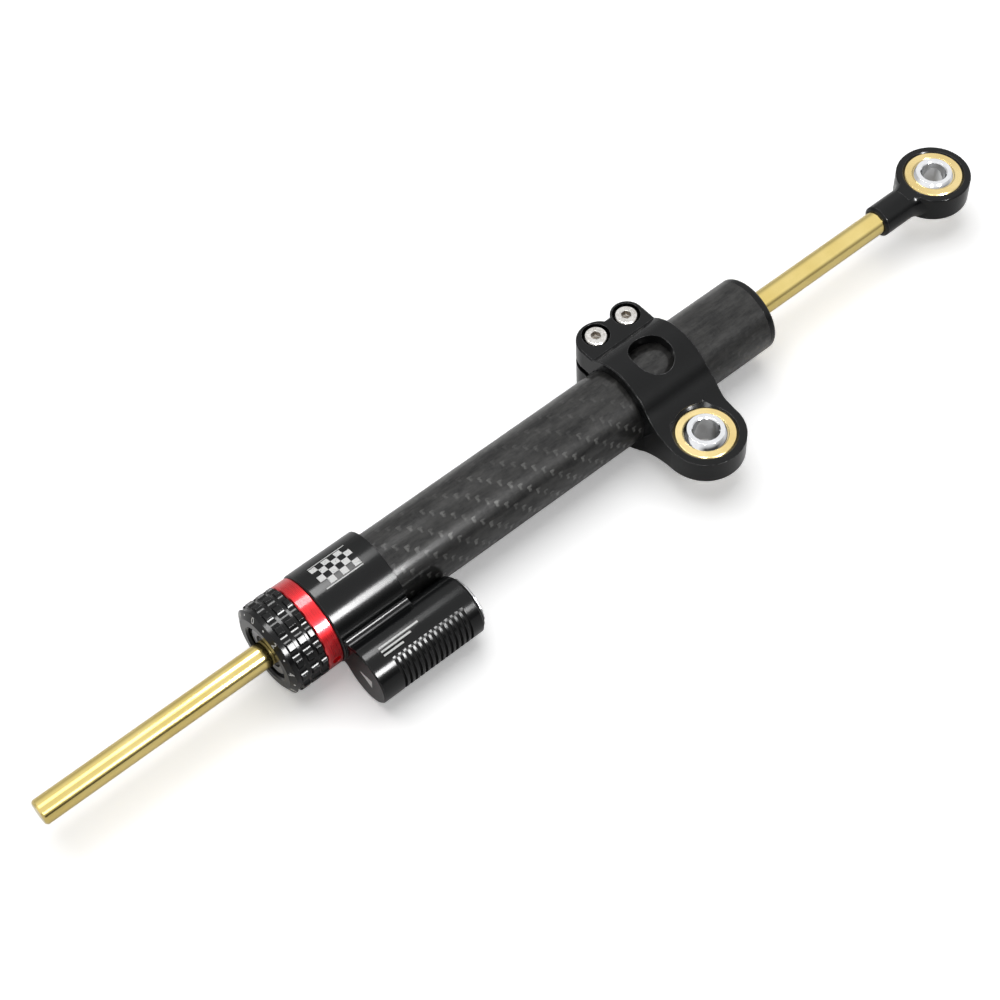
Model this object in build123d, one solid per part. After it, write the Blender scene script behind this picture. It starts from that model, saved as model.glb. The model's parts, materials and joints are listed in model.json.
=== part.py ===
from build123d import *
import math
import os

os.makedirs("parts", exist_ok=True)

# A motorcycle steering damper, in millimetres. X runs along the rod toward its eye, Z is up, and the
# origin is the centre of the ball in the rod's eye. The rod passes right through the barrel, the knob
# at the front turns the valve sleeve, and the clamp's ear fastens the barrel to the frame.

# Clearances and overruns
over = 1.0
fit_gap = 0.02
run_gap = 0.05
pass_gap = 0.2
edge = 0.4

# Barrel along X
eye_to_barrel = 229.6
head_len = 23.3
socket_depth = 11.4
tube_visible = 144.9
cap_len = 2.6
chamber_len = 8.0
gland_flange_len = 4.0
gland_hub_len = 11.0
cap_spigot_len = 10.0
cap_nib_len = 5.0

# Barrel across
tube_r = 12.5
tube_wall = 1.8
channel_gap = 0.8
liner_wall = 0.9
head_r = 14.75
nose_wall_share = 19 / 78
nose_len = 12.4
valve_bore_r = 6.6
valve_chamber_lip = 0.3

# Canister beside the head
canister_y = -21.8
canister_z = -4.4
canister_r = 9.7
canister_len = 37.0
canister_setback = 0.85
canister_wall = 2.1
canister_front_wall = 4.0
canister_edge = 1.0
canister_tube_gap = 0.3
head_valley_r = 2.0
passage_r = 1.0
rib_cut_count = 14
rib_cut_pitch = 1.85
rib_cut_width = 0.95
rib_cut_depth = 1.0
rib_cut_first = 7.25
rib_cut_half_angle = 66.0

# Index ring and its screw
ring_len = 5.1
ring_r = 14.4
ring_screw_r = 1.5
ring_screw_len = 4.4
ring_screw_angle = 95.0
ring_screw_socket = 1.5

# Detent between the ring and the knob
detent_ball_r = 1.5
detent_place_share = 30 / 59
detent_hole_depth = 4.6
detent_track_depth = 0.95
detent_dimple_depth = 0.2
detent_spring_wire_r = 0.2
detent_spring_turns = 4

# Knob
knob_len = 11.9
knob_proud = 0.2
knob_groove_depth = 1.0
knob_bevel_drop = 0.4
knob_bevel_width = 2.4
knob_front_width = 2.6
knob_recess_edge = 0.6
knob_recess_depth = 1.5
knob_rib_lens = (1.7, 2.2, 2.1)
knob_groove_lens = (1.3, 1.5, 1.9)
knob_flank = 0.2
knob_bore_len = 8.6
knob_positions = 16
knob_scallop_r = 2.44
knob_land_angle = 40.3
clip_wire_r = 0.5
clip_from_nose_end = 2.2

# Valve sleeve
sleeve_bore_r = 4.4
sleeve_collar_inset = 0.4
sleeve_boss_r = 7.6
sleeve_boss_flat = 7.2
sleeve_boss_len = 2.2
sleeve_slot_r = 0.9
sleeve_slot_count = 4
o_ring_small_r = 0.53
o_ring_large_r = 0.7
o_ring_groove_gap = 0.2

# Rod and piston
rod_r = 4.0
rod_len = 319.9
rod_tip_edge = 0.6
rod_stud_r = 3.0
rod_stud_len = 12.5
piston_len = 8.0
piston_gap = 0.15
piston_ring_len = 5.0
piston_ring_wall = 0.95
piston_hole_r = 0.8
piston_hole_count = 6
shim_len = 0.6
shim_r = 7.6
clip_len = 1.2
clip_depth = 0.4
clip_r = 5.6
clip_open_angle = 70.0
travel_in = 52.0
piston_end_margin = 1.35

# Glands, bushes and seals
bush_wall = 1.45
bush_len = 7.8
seal_len = 3.4
seal_r = 6.6
seal_lip_depth = 1.3
gland_oil_hole_r = 0.7
gland_oil_hole_count = 4
gland_recess_depth = 0.6
wiper_len = 3.0
wiper_lip_len = 1.0
front_wiper_r = 5.4
port_r = 1.1
port_count = 6

# Piston and cap in the canister
float_len = 8.0
float_gap = 0.1
float_ring_len = 2.4
float_ring_wall = 0.9
reservoir_cap_len = 5.0
plug_flats = 7.6
plug_head_len = 1.4
plug_socket = 3.0
plug_socket_depth = 2.4
plug_stem_r = 2.5
plug_stem_len = 4.2
plug_seal_len = 0.5
cap_pin_hole_r = 0.7

# Ball joints, alike in the clamp's ear and in the rod's eye
ball_r = 7.94
ball_width = 11.0
ball_bore_r = 4.0
race_r = 9.5
race_edge = 0.4
eye_race_mouth = 0.5
clamp_race_mouth = 0.1
clamp_race_inset = 0.2
race_chamfer = 0.5

# Clamp
clamp_from_head = 92.0
clamp_len = 25.6
clamp_r = 16.0
clamp_edge = 0.25
slot_width = 2.5
slot_z = 2.8
window_x = 13.1
window_y = -1.0
window_width = 12.6
window_length = 14.7
ear_x = 11.4
ear_y = -27.3
ear_r = 12.4
ear_half = 4.0
ear_top_blend_r = 14.0
ear_under_blend_r = 34.0
ear_front_corner_y = -13.0
ear_rear_corner_y = -16.0
ear_rear_waist_y = -21.5
ear_rear_waist_x = 12.9
ear_spot_r = 9.9
lug_half = 11.5
lug_screw_y = 17.9
lug_screw_x = 7.6
lug_screw_pitch = 12.35
lug_lobe_r = 5.3
lug_corner_r = 7.5
lug_bridge_y = 20.4
screw_r = 2.0
screw_len = 18.0
screw_head_r = 3.65
screw_head_len = 4.0
screw_socket = 3.0
screw_socket_depth = 2.2
screw_clear = 0.25
counterbore_r = 4.4
counterbore_depth = 4.2

# Rod end
eye_shank_len = 26.0
eye_shank_r = 5.3
eye_shank_edge = 0.8
eye_r = 12.1
eye_half = 4.5
eye_round = 0.55
eye_neck_blend_r = 6.0
eye_flat_r = 14.6

# Shares
socket_depth_share = 0.5
hex_edge_share = 0.12
lip_share = 0.45

# Places that follow from the sizes above
head_rear_x = -eye_to_barrel
head_front_x = head_rear_x - head_len
tube_front_x = head_rear_x - socket_depth
tube_rear_x = head_rear_x + tube_visible
cap_rear_x = tube_rear_x + cap_len
chamber_front_x = tube_front_x - chamber_len
liner_front_x = chamber_front_x + gland_flange_len
gland_rear_x = liner_front_x + gland_hub_len
liner_rear_x = tube_rear_x - cap_spigot_len
cap_nib_x = liner_rear_x - cap_nib_len
tube_bore_r = tube_r - tube_wall
liner_r = tube_bore_r - channel_gap
liner_bore_r = liner_r - liner_wall
nose_front_x = head_front_x - nose_len
nose_r = valve_bore_r + (ring_r - valve_bore_r) * nose_wall_share
detent_track_r = nose_r + (ring_r - nose_r) * detent_place_share
sleeve_collar_r = nose_r - sleeve_collar_inset
ring_front_x = head_front_x - ring_len
knob_rear_x = ring_front_x - pass_gap
knob_front_x = knob_rear_x - knob_len
knob_wall_x = knob_rear_x - knob_bore_len
clip_x = nose_front_x + clip_from_nose_end
knob_r = ring_r + knob_proud
knob_groove_r = knob_r - knob_groove_depth
knob_bevel_r = knob_r - knob_bevel_drop
knob_front_r = knob_bevel_r - knob_bevel_width
knob_recess_x = knob_front_x + knob_recess_depth
canister_front_x = head_front_x + canister_setback
canister_rear_x = canister_front_x + canister_len
canister_bore_r = canister_r - canister_wall
canister_floor_x = canister_front_x + canister_front_wall
rod_rear_x = -eye_shank_len
rod_tip_x = rod_rear_x - rod_len
pack_half = piston_len / 2 + shim_len + clip_len
piston_x = gland_rear_x + piston_end_margin + travel_in + pack_half
clamp_front_x = head_rear_x + clamp_from_head
clamp_rear_x = clamp_front_x + clamp_len
ear_centre = (clamp_front_x + ear_x, ear_y)


def turned(points):
    """A solid turned about the X axis from its half outline, given as (x, radius)."""
    return revolve(make_face(Polyline(*points, close=True)), Axis.X)


def bar(x0, x1, radius, y=0, z=0):
    """A round bar along X between two stations."""
    return Pos((x0 + x1) / 2, y, z) * Rot(0, 90, 0) * Cylinder(radius, abs(x1 - x0))


def pipe(x0, x1, outer, inner, y=0, z=0):
    """A plain tube along X."""
    return bar(x0, x1, outer, y, z) - bar(x0 - over, x1 + over, inner, y, z)


def post(z0, z1, radius, x=0, y=0):
    """A round post along Z between two heights."""
    return Pos(x, y, (z0 + z1) / 2) * Cylinder(radius, z1 - z0)


def block(x0, x1, y0, y1, z0, z1):
    """A box between two corners."""
    centre = Pos((x0 + x1) / 2, (y0 + y1) / 2, (z0 + z1) / 2)
    return centre * Box(abs(x1 - x0), abs(y1 - y0), abs(z1 - z0))


def o_ring(x, mean_r, wire_r, y=0, z=0):
    """A round sectioned ring about an axis along X."""
    return Pos(x, y, z) * Rot(0, 90, 0) * Torus(mean_r, wire_r)


def hex_bar(x0, x1, flats, y=0, z=0):
    """A hexagonal bar along X, measured across its flats."""
    section = Pos(x0, y, z) * Rot(0, 90, 0) * RegularPolygon(flats / 2, 6, major_radius=False)
    return extrude(section, x1 - x0, dir=(1, 0, 0))


def hex_socket(top, depth, flats, x, y):
    """The hexagonal hole in the top of an upright screw."""
    section = Pos(x, y, top - depth) * RegularPolygon(flats / 2, 6, major_radius=False)
    return extrude(section, depth + over)


def around(solid, count, start=0):
    """The same cut, repeated evenly about the X axis."""
    return [Rot(start + 360 * i / count, 0, 0) * solid for i in range(count)]


# Barrel


def carbon_tube():
    return pipe(tube_front_x, tube_rear_x, tube_r, tube_bore_r)


def inner_liner():
    body = pipe(liner_front_x, liner_rear_x, liner_r, liner_bore_r)
    port = post(liner_bore_r - over, liner_r + over, port_r, cap_nib_x - port_r)
    return body - around(port, port_count)


def head_outline():
    """The head across X: the sleeve and the canister, with a rounded valley where they meet."""
    outline = Circle(head_r) + Pos(canister_y, canister_z) * Circle(canister_r)
    return fillet(outline.vertices(), head_valley_r)


def head_middle():
    """The stretch where the sleeve and the canister are one."""
    across = Plane(origin=(canister_front_x, 0, 0), x_dir=(0, 1, 0), z_dir=(1, 0, 0))
    body = extrude(across * head_outline(), head_rear_x - canister_front_x)
    return chamfer(body.edges().group_by(Axis.X)[0], edge)


def canister_grooves():
    """Cooling grooves, deepest on the canister's outer side and running out before its top."""
    away = math.atan2(canister_z, canister_y)
    shift = rib_cut_depth / (1 - math.cos(math.radians(rib_cut_half_angle)))
    floor_r = canister_r - rib_cut_depth + shift
    floor_y = canister_y - shift * math.cos(away)
    floor_z = canister_z - shift * math.sin(away)
    cuts = []
    for i in range(rib_cut_count):
        x0 = canister_front_x + rib_cut_first + i * rib_cut_pitch
        x1 = x0 + rib_cut_width
        ring = bar(x0, x1, canister_r + edge, canister_y, canister_z)
        cuts.append(ring - bar(x0 - over, x1 + over, floor_r, floor_y, floor_z))
    return cuts


def head_block():
    sleeve = turned([
        (head_front_x, 0),
        (head_front_x, head_r - edge),
        (head_front_x + edge, head_r),
        (tube_front_x, head_r),
        (tube_front_x, 0),
    ])
    canister = Pos(0, canister_y, canister_z) * turned([
        (tube_front_x, 0),
        (tube_front_x, canister_r),
        (canister_rear_x - canister_edge, canister_r),
        (canister_rear_x, canister_r - canister_edge),
        (canister_rear_x, 0),
    ])
    nose = bar(nose_front_x, head_front_x + over, nose_r)
    body = head_middle() + sleeve + canister + nose
    body -= bar(tube_front_x, head_rear_x + over, tube_r + fit_gap)
    body -= bar(head_rear_x, canister_rear_x + over, tube_r + canister_tube_gap)
    body -= bar(chamber_front_x, head_rear_x, tube_bore_r)
    body -= bar(nose_front_x - over, head_rear_x, valve_bore_r)
    body -= bar(canister_floor_x, canister_rear_x + over, canister_bore_r, canister_y, canister_z)
    clip_half = clip_wire_r + run_gap
    body -= pipe(clip_x - clip_half, clip_x + clip_half, nose_r + over, nose_r - clip_half)
    reach = math.hypot(canister_y, canister_z) - canister_bore_r + passage_r
    passage = post(liner_r + channel_gap / 2, reach, passage_r, (chamber_front_x + tube_front_x) / 2)
    body -= Rot(math.degrees(math.atan2(-canister_y, canister_z)), 0, 0) * passage
    return body - canister_grooves()


def from_top(angle):
    """Turns a piece about X from the top toward the canister's side."""
    return Rot(angle, 0, 0)


def index_ring():
    body = turned([
        (ring_front_x, nose_r + fit_gap),
        (ring_front_x, ring_r - edge),
        (ring_front_x + edge, ring_r),
        (head_front_x - edge, ring_r),
        (head_front_x, ring_r - edge),
        (head_front_x, nose_r + fit_gap),
    ])
    middle = (ring_front_x + head_front_x) / 2
    body -= from_top(ring_screw_angle) * post(nose_r - over, ring_r + over, ring_screw_r + fit_gap, middle)
    hole_r = detent_ball_r + run_gap
    return body - bar(ring_front_x - over, ring_front_x + detent_hole_depth, hole_r, detent_track_r)


def ring_set_screw():
    middle = (ring_front_x + head_front_x) / 2
    foot = nose_r + fit_gap
    body = post(foot, foot + ring_screw_len, ring_screw_r, middle)
    depth = ring_screw_len * socket_depth_share
    body -= hex_socket(foot + ring_screw_len, depth, ring_screw_socket, middle, 0)
    return from_top(ring_screw_angle) * body


def detent_ball_x():
    track_floor = knob_rear_x - detent_track_depth
    return track_floor + run_gap + detent_ball_r


def detent_ball():
    return Pos(detent_ball_x(), detent_track_r, 0) * Sphere(detent_ball_r)


def detent_spring():
    """A wire coil between the bottom of its hole and the ball."""
    coil_r = detent_ball_r - 2 * detent_spring_wire_r
    start = ring_front_x + detent_hole_depth - detent_spring_wire_r - fit_gap
    stop = detent_ball_x() + math.sqrt((detent_ball_r + detent_spring_wire_r) ** 2 - coil_r**2) + fit_gap
    length = start - stop
    path = Helix(length / detent_spring_turns, length, coil_r)
    section = Plane(origin=path @ 0, z_dir=path % 0) * Circle(detent_spring_wire_r)
    return Pos(stop, detent_track_r, 0) * Rot(0, 90, 0) * sweep(section, path)


def knob_clip():
    return o_ring(clip_x, nose_r, clip_wire_r)


# Glands and seals


def seal(x0, outer):
    """A lip seal on the rod, with its groove toward the oil on its rear face."""
    inner = rod_r + run_gap
    x1 = x0 + seal_len
    lip = (outer - inner) * lip_share
    return turned([
        (x0, inner),
        (x0, outer),
        (x1, outer),
        (x1, outer - lip / 2),
        (x1 - seal_lip_depth, (outer + inner) / 2),
        (x1, inner + lip / 2),
        (x1, inner),
    ])


def wiper(x0, x1, outer):
    """A wiper that closes the rod's way out; its lip is at x0."""
    inner = rod_r + run_gap
    lip = wiper_lip_len if x1 > x0 else -wiper_lip_len
    shoulder_r = outer - (outer - inner) * lip_share
    return turned([(x0, inner), (x0, shoulder_r), (x0 + lip, outer), (x1, outer), (x1, inner)])


def o_ring_groove(x, floor_r, outer_r, wire_r):
    half = wire_r + o_ring_groove_gap
    return pipe(x - half, x + half, outer_r + over, floor_r)


def front_o_ring_x():
    return (chamber_front_x + liner_front_x) / 2


def gland_o_ring_mean_r():
    return tube_bore_r - fit_gap - o_ring_large_r - fit_gap


def front_gland():
    flange_r = tube_bore_r - fit_gap
    hub_r = liner_bore_r - fit_gap
    body = turned([
        (chamber_front_x, 0),
        (chamber_front_x, flange_r),
        (liner_front_x, flange_r),
        (liner_front_x, hub_r),
        (gland_rear_x - edge, hub_r),
        (gland_rear_x, hub_r - edge),
        (gland_rear_x, 0),
    ])
    body -= bar(chamber_front_x - over, gland_rear_x + over, sleeve_bore_r)
    bush_r = rod_r + run_gap + bush_wall
    body -= bar(gland_rear_x - bush_len - pass_gap, gland_rear_x + over, bush_r)
    seal_x = front_seal_x()
    body -= bar(seal_x, seal_x + seal_len + fit_gap, seal_r)
    floor_r = gland_o_ring_mean_r() - o_ring_large_r - fit_gap
    body -= o_ring_groove(front_o_ring_x(), floor_r, tube_bore_r, o_ring_large_r)
    oil_r = (seal_r + hub_r) / 2
    hole = bar(chamber_front_x - over, gland_rear_x + over, gland_oil_hole_r, 0, oil_r)
    recess_x = chamber_front_x + gland_recess_depth
    recess = pipe(chamber_front_x - over, recess_x, oil_r, valve_bore_r - 2 * valve_chamber_lip)
    return body - around(hole, gland_oil_hole_count) - recess


def front_seal_x():
    """The seal lies half way between the gland's front face and its bush."""
    bush_front = gland_rear_x - bush_len - pass_gap
    return (chamber_front_x + bush_front - seal_len) / 2


def front_bush():
    inner = rod_r + run_gap
    return pipe(gland_rear_x - bush_len, gland_rear_x, inner + bush_wall - fit_gap, inner)


def front_rod_seal():
    return seal(front_seal_x(), seal_r - fit_gap)


def front_gland_o_ring():
    return o_ring(front_o_ring_x(), gland_o_ring_mean_r(), o_ring_large_r)


def rear_o_ring_x():
    return (liner_rear_x + tube_rear_x) / 2


def rear_wiper_x():
    return cap_rear_x - wiper_len


def rear_seal_x():
    """The seal lies half way between the end cap's bush and its wiper."""
    bush_rear = cap_nib_x + bush_len + pass_gap
    return (bush_rear + rear_wiper_x() - seal_len) / 2


def end_cap():
    spigot_r = tube_bore_r - fit_gap
    nib_r = liner_bore_r - fit_gap
    half = turned([
        (cap_nib_x, 0),
        (cap_nib_x, nib_r - edge),
        (cap_nib_x + edge, nib_r),
        (liner_rear_x, nib_r),
        (liner_rear_x, spigot_r),
        (tube_rear_x, spigot_r),
        (tube_rear_x, tube_r),
        (cap_rear_x, tube_r),
        (cap_rear_x, 0),
    ])
    rim = half.edges().filter_by(GeomType.CIRCLE).filter_by(lambda e: abs(e.radius - tube_r) < fit_gap)
    body = fillet(rim.sort_by(Axis.X)[-1], cap_len / 2)
    body -= bar(cap_nib_x - over, cap_rear_x + over, sleeve_bore_r)
    body -= bar(cap_nib_x - over, cap_nib_x + bush_len + pass_gap, rod_r + run_gap + bush_wall)
    seal_x = rear_seal_x()
    body -= bar(seal_x, seal_x + seal_len + fit_gap, seal_r)
    body -= bar(rear_wiper_x(), cap_rear_x + over, seal_r)
    floor_r = gland_o_ring_mean_r() - o_ring_large_r - fit_gap
    return body - o_ring_groove(rear_o_ring_x(), floor_r, tube_bore_r, o_ring_large_r)


def rear_bush():
    inner = rod_r + run_gap
    return pipe(cap_nib_x, cap_nib_x + bush_len, inner + bush_wall - fit_gap, inner)


def rear_rod_seal():
    x0 = rear_seal_x()
    middle = x0 + seal_len / 2
    return mirror(seal(x0, seal_r - fit_gap), Plane.YZ.offset(middle))


def rear_wiper():
    return wiper(cap_rear_x - edge, rear_wiper_x(), seal_r - fit_gap)


def rear_o_ring():
    return o_ring(rear_o_ring_x(), gland_o_ring_mean_r(), o_ring_large_r)


# Canister pieces


def cap_front_x():
    return canister_rear_x - pass_gap - reservoir_cap_len


def reservoir_cap():
    x0 = cap_front_x()
    x1 = x0 + reservoir_cap_len
    body = bar(x0, x1, canister_bore_r - fit_gap, canister_y, canister_z)
    body -= bar(x0 - over, x1 + over, plug_stem_r + fit_gap, canister_y, canister_z)
    half = o_ring_small_r + o_ring_groove_gap
    middle = (x0 + x1) / 2
    floor_r = canister_bore_r - 2 * o_ring_small_r - 3 * fit_gap
    body -= pipe(middle - half, middle + half, canister_bore_r + over, floor_r, canister_y, canister_z)
    pin_r = (canister_bore_r + plug_flats / 2) / 2
    for side in (-1, 1):
        body -= bar(x1 - over, x1 + over, cap_pin_hole_r, canister_y, canister_z + side * (pin_r + fit_gap))
    return body


def cap_o_ring():
    mean_r = canister_bore_r - 2 * fit_gap - o_ring_small_r
    return o_ring(cap_front_x() + reservoir_cap_len / 2, mean_r, o_ring_small_r, canister_y, canister_z)


def plug_seal():
    x0 = cap_front_x() + reservoir_cap_len
    return pipe(x0, x0 + plug_seal_len, plug_flats / 2, plug_stem_r + fit_gap, canister_y, canister_z)


def fill_plug():
    x0 = cap_front_x() + reservoir_cap_len + plug_seal_len
    x1 = x0 + plug_head_len
    corner_r = plug_flats / math.sqrt(3)
    slope = plug_head_len * hex_edge_share
    cone = Pos(0, canister_y, canister_z) * turned([
        (x0, 0),
        (x0, corner_r),
        (x1 - slope, corner_r),
        (x1, corner_r - 2 * slope),
        (x1, 0),
    ])
    head = hex_bar(x0, x1, plug_flats, canister_y, canister_z) & cone
    stem = bar(x0 - plug_seal_len - plug_stem_len, x0 + fit_gap, plug_stem_r, canister_y, canister_z)
    socket = hex_bar(x1 - plug_socket_depth, x1 + over, plug_socket, canister_y, canister_z)
    return head + stem - socket


def float_x():
    return (canister_floor_x + cap_front_x()) / 2


def floating_piston():
    middle = float_x()
    outer = canister_bore_r - float_gap
    body = bar(middle - float_len / 2, middle + float_len / 2, outer, canister_y, canister_z)
    x0 = middle - float_ring_len / 2 - run_gap
    x1 = middle + float_ring_len / 2 + run_gap
    floor_r = canister_bore_r - run_gap - float_ring_wall - fit_gap
    return body - pipe(x0, x1, canister_bore_r + over, floor_r, canister_y, canister_z)


def floating_piston_ring():
    middle = float_x()
    outer = canister_bore_r - run_gap
    inner = outer - float_ring_wall
    half = float_ring_len / 2
    return pipe(middle - half, middle + half, outer, inner, canister_y, canister_z)


# Rod and piston


def rod():
    body = turned([
        (rod_tip_x, 0),
        (rod_tip_x, rod_r - rod_tip_edge),
        (rod_tip_x + rod_tip_edge, rod_r),
        (rod_rear_x, rod_r),
        (rod_rear_x, rod_stud_r),
        (rod_rear_x + rod_stud_len, rod_stud_r),
        (rod_rear_x + rod_stud_len, 0),
    ])
    for side in (-1, 1):
        middle = piston_x + side * (piston_len / 2 + shim_len + clip_len / 2)
        half = clip_len / 2 + fit_gap
        body -= pipe(middle - half, middle + half, rod_r + over, rod_r - clip_depth)
    return body


def piston():
    body = bar(piston_x - piston_len / 2, piston_x + piston_len / 2, liner_bore_r - piston_gap)
    body -= bar(piston_x - piston_len, piston_x + piston_len, rod_r + fit_gap)
    half = piston_ring_len / 2 + run_gap
    floor_r = liner_bore_r - run_gap - piston_ring_wall - run_gap
    body -= pipe(piston_x - half, piston_x + half, liner_bore_r + over, floor_r)
    hole = bar(piston_x - piston_len, piston_x + piston_len, piston_hole_r, 0, (rod_r + floor_r) / 2)
    return body - around(hole, piston_hole_count)


def piston_ring():
    outer = liner_bore_r - run_gap
    half = piston_ring_len / 2
    return pipe(piston_x - half, piston_x + half, outer, outer - piston_ring_wall)


def piston_shims():
    plates = []
    for side in (-1, 1):
        middle = piston_x + side * (piston_len + shim_len) / 2
        plates.append(pipe(middle - shim_len / 2, middle + shim_len / 2, shim_r, rod_r + fit_gap))
    return Compound(children=plates)


def piston_clips():
    clips = []
    for side in (-1, 1):
        middle = piston_x + side * (piston_len / 2 + shim_len + clip_len / 2)
        x0 = middle - clip_len / 2
        clip = pipe(x0, middle + clip_len / 2, clip_r, rod_r - clip_depth + fit_gap)
        half_angle = math.radians(clip_open_angle / 2)
        across = clip_r * math.tan(half_angle) + clip_r
        mouth = Polyline((0, 0), (-across, clip_r + over), (across, clip_r + over), close=True)
        standing = Plane(origin=(x0 - over, 0, 0), x_dir=(0, 1, 0), z_dir=(1, 0, 0))
        clips.append(clip - extrude(standing * make_face(mouth), clip_len + 2 * over))
    return Compound(children=clips)


# Ball joints


def race(half, mouth, x, y):
    """The outer ring of a spherical bearing, its axis along Z, with its mouths bevelled."""
    body = post(-half, half, race_r, x, y)
    body = chamfer(body.edges().filter_by(GeomType.CIRCLE), race_edge)
    seat_r = ball_r + run_gap
    body -= Pos(x, y, 0) * Sphere(seat_r)
    mouth_r = math.sqrt(seat_r**2 - half**2) + mouth
    bevel = Cone(mouth_r - over, mouth_r + over, 2 * over)
    body -= Pos(x, y, half) * bevel
    return body - Pos(x, y, -half) * Rot(180, 0, 0) * bevel


def ball(x, y):
    """The bored ball of a spherical bearing, its axis along Z."""
    half = ball_width / 2
    body = Pos(x, y, 0) * Sphere(ball_r) & post(-half, half, ball_r + over, x, y)
    mouth = [
        (0, -half - over),
        (ball_bore_r + edge + over, -half - over),
        (ball_bore_r, -half + edge),
        (ball_bore_r, half - edge),
        (ball_bore_r + edge + over, half + over),
        (0, half + over),
    ]
    upright = Plane(origin=(x, y, 0), x_dir=(1, 0, 0), z_dir=(0, -1, 0))
    return body - revolve(upright * make_face(Polyline(*mouth, close=True)), Axis((x, y, 0), (0, 0, 1)))


def race_seat(x, y, half):
    """The bore that a race is pressed into, with both its edges chamfered."""
    wide = race_r + race_chamfer
    seat_r = race_r + fit_gap
    points = [
        (0, -half - over),
        (wide + over, -half - over),
        (wide, -half),
        (seat_r, -half + race_chamfer),
        (seat_r, half - race_chamfer),
        (wide, half),
        (wide + over, half + over),
        (0, half + over),
    ]
    upright = Plane(origin=(x, y, 0), x_dir=(1, 0, 0), z_dir=(0, -1, 0))
    return revolve(upright * make_face(Polyline(*points, close=True)), Axis((x, y, 0), (0, 0, 1)))


def eye_race():
    return race(eye_half, eye_race_mouth, 0, 0)


def eye_ball():
    return ball(0, 0)


def rod_end():
    reach = eye_r + eye_neck_blend_r
    blend_y = eye_shank_r + eye_neck_blend_r
    blend_x = math.sqrt(reach**2 - blend_y**2)
    meet = (-blend_x * eye_r / reach, blend_y * eye_r / reach)
    foot = (rod_rear_x, eye_shank_r - eye_shank_edge)
    chamfer_top = (rod_rear_x + eye_shank_edge, eye_shank_r)
    blend_start = (-blend_x, eye_shank_r)
    outline = [
        Polyline((rod_rear_x, 0), foot, chamfer_top, blend_start),
        TangentArc(blend_start, meet, tangent=(1, 0)),
        Polyline(meet, (0, meet[1]), (0, 0), (rod_rear_x, 0)),
    ]
    neck = revolve(make_face(outline), Axis.X)
    flats = post(eye_half, eye_r + over, eye_flat_r) + post(-eye_r - over, -eye_half, eye_flat_r)
    neck -= flats
    side = Polyline((0, -eye_half), (eye_r, -eye_half), (eye_r, eye_half), (0, eye_half), close=True)
    section = make_face(side)
    corners = section.vertices().group_by(Axis.X)[-1]
    ring = revolve(Plane.XZ * fillet(corners, eye_round), Axis.Z)
    body = neck + ring - race_seat(0, 0, eye_half)
    return body - bar(rod_rear_x - over, rod_rear_x + rod_stud_len + pass_gap, rod_stud_r + fit_gap)


# Knob and valve


def knob_outline():
    """The knob's half outline, from its rear face along its ribs and grooves to the recess in its front."""
    points = [(knob_rear_x, nose_r + run_gap), (knob_rear_x, knob_r - knob_flank)]
    points.append((knob_rear_x - knob_flank, knob_r))
    x = knob_rear_x
    for rib_len, groove_len in zip(knob_rib_lens, knob_groove_lens):
        x -= rib_len
        points.append((x, knob_r))
        points.append((x - knob_flank, knob_groove_r))
        x -= groove_len
        points.append((x + knob_flank, knob_groove_r))
        points.append((x, knob_r))
    points[-1] = (x, knob_bevel_r)
    recess_r = knob_front_r - knob_front_width
    points.append((knob_front_x, knob_front_r))
    points.append((knob_front_x, recess_r))
    points.append((knob_front_x + knob_recess_edge, recess_r - knob_recess_edge))
    points.append((knob_recess_x, recess_r - knob_recess_edge))
    return points


def adjuster_knob():
    points = knob_outline()
    points.append((knob_recess_x, 0))
    points.append((knob_wall_x, 0))
    points.append((knob_wall_x, nose_r + run_gap))
    body = turned(points)
    body -= sleeve_boss(knob_recess_x - over, knob_wall_x + over, run_gap)
    floor = knob_rear_x - detent_track_depth
    track_half = detent_ball_r + pass_gap
    body -= pipe(floor, knob_rear_x + over, detent_track_r + track_half, detent_track_r - track_half)
    dimple_r = detent_ball_r + run_gap
    dimple_x = floor + dimple_r - detent_dimple_depth
    body -= around(Pos(dimple_x, detent_track_r, 0) * Sphere(dimple_r), knob_positions)
    clip_half = clip_wire_r + pass_gap
    body -= pipe(clip_x - clip_half, clip_x + clip_half, nose_r + clip_wire_r + run_gap, nose_r - over)
    scallop_front = knob_rear_x - sum(knob_rib_lens) - sum(knob_groove_lens[:-1])
    scallop_z = knob_groove_r + knob_scallop_r
    scallop = bar(scallop_front - knob_flank, knob_rear_x + over, knob_scallop_r, 0, scallop_z)
    pitch = 360 / knob_positions
    return body - around(scallop, knob_positions, knob_land_angle + pitch / 2)


def sleeve_boss(x0, x1, gap):
    """The valve sleeve's front boss with its two flats, larger by a gap where it is cut from the knob."""
    round_part = bar(x0, x1, sleeve_boss_r + gap)
    flat = sleeve_boss_flat + gap
    return round_part & block(x0, x1, -sleeve_boss_r - over, sleeve_boss_r + over, -flat, flat)


def sleeve_rear_x():
    return chamber_front_x - valve_chamber_lip


def sleeve_front_x():
    return knob_wall_x + run_gap - sleeve_boss_len


def valve_o_ring_places():
    inset = 2 * o_ring_small_r + 2 * o_ring_groove_gap
    return sleeve_rear_x() - inset, nose_front_x + inset


def valve_wiper_x():
    return sleeve_front_x() + wiper_lip_len * 2


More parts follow.
